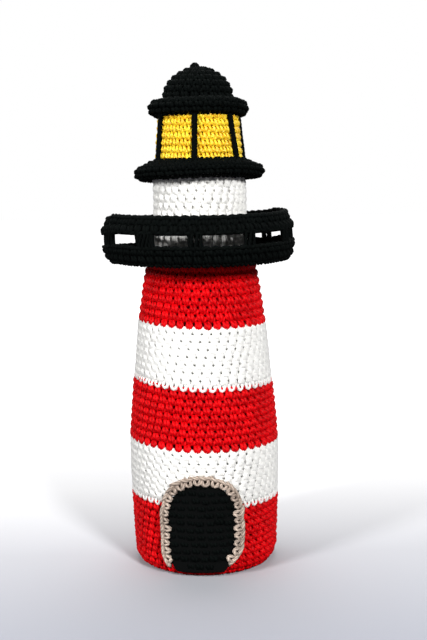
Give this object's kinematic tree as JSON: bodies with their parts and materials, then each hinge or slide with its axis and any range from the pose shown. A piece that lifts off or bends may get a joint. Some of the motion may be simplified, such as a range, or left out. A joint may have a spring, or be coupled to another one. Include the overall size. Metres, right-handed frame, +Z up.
{
  "type": "crocheted toy lighthouse",
  "caption": "Stuffed crocheted toy lighthouse: a banded tower on a flat round base, a railed gallery, a drum, a lantern room under a domed roof, and an arched door.",
  "frame": {"origin": "middle of the flat base, on the surface the toy stands on", "axes": "+Z up the tower, -Y out through the arched door, +X to the right of someone facing the door"},
  "size_m": [0.0954, 0.0955, 0.2498],
  "materials": {
    "red_yarn": "crocheted cotton yarn",
    "white_yarn": "crocheted cotton yarn",
    "black_yarn": "crocheted cotton yarn",
    "yellow_yarn": "crocheted mercerised cotton yarn with a sheen",
    "beige_yarn": "crocheted cotton yarn",
    "stuffing": "loose polyester fibre"
  },
  "bodies": {
    "root": {"base_disc": "red_yarn", "tower_red_bottom": "red_yarn", "tower_white_lower": "white_yarn", "tower_red_middle": "red_yarn", "tower_white_upper": "white_yarn", "tower_red_top": "red_yarn", "tower_stuffing": "stuffing", "gallery_floor": "black_yarn", "railing_foot": "black_yarn", "railing_post_01": "black_yarn", "railing_post_02": "black_yarn", "railing_post_03": "black_yarn", "railing_post_04": "black_yarn", "railing_post_05": "black_yarn", "railing_post_06": "black_yarn", "railing_post_07": "black_yarn", "railing_post_08": "black_yarn", "railing_post_09": "black_yarn", "railing_post_10": "black_yarn", "railing_post_11": "black_yarn", "railing_top": "black_yarn", "drum": "white_yarn", "drum_stuffing": "stuffing", "lantern_brim": "black_yarn", "lantern": "yellow_yarn", "lantern_stuffing": "stuffing", "glazing_bar_1": "black_yarn", "glazing_bar_2": "black_yarn", "glazing_bar_3": "black_yarn", "glazing_bar_4": "black_yarn", "glazing_bar_5": "black_yarn", "glazing_bar_6": "black_yarn", "roof_brim": "black_yarn", "roof_dome": "black_yarn", "roof_stuffing": "stuffing", "door_panel": "black_yarn", "door_edging": "beige_yarn"}
  },
  "joints": []
}
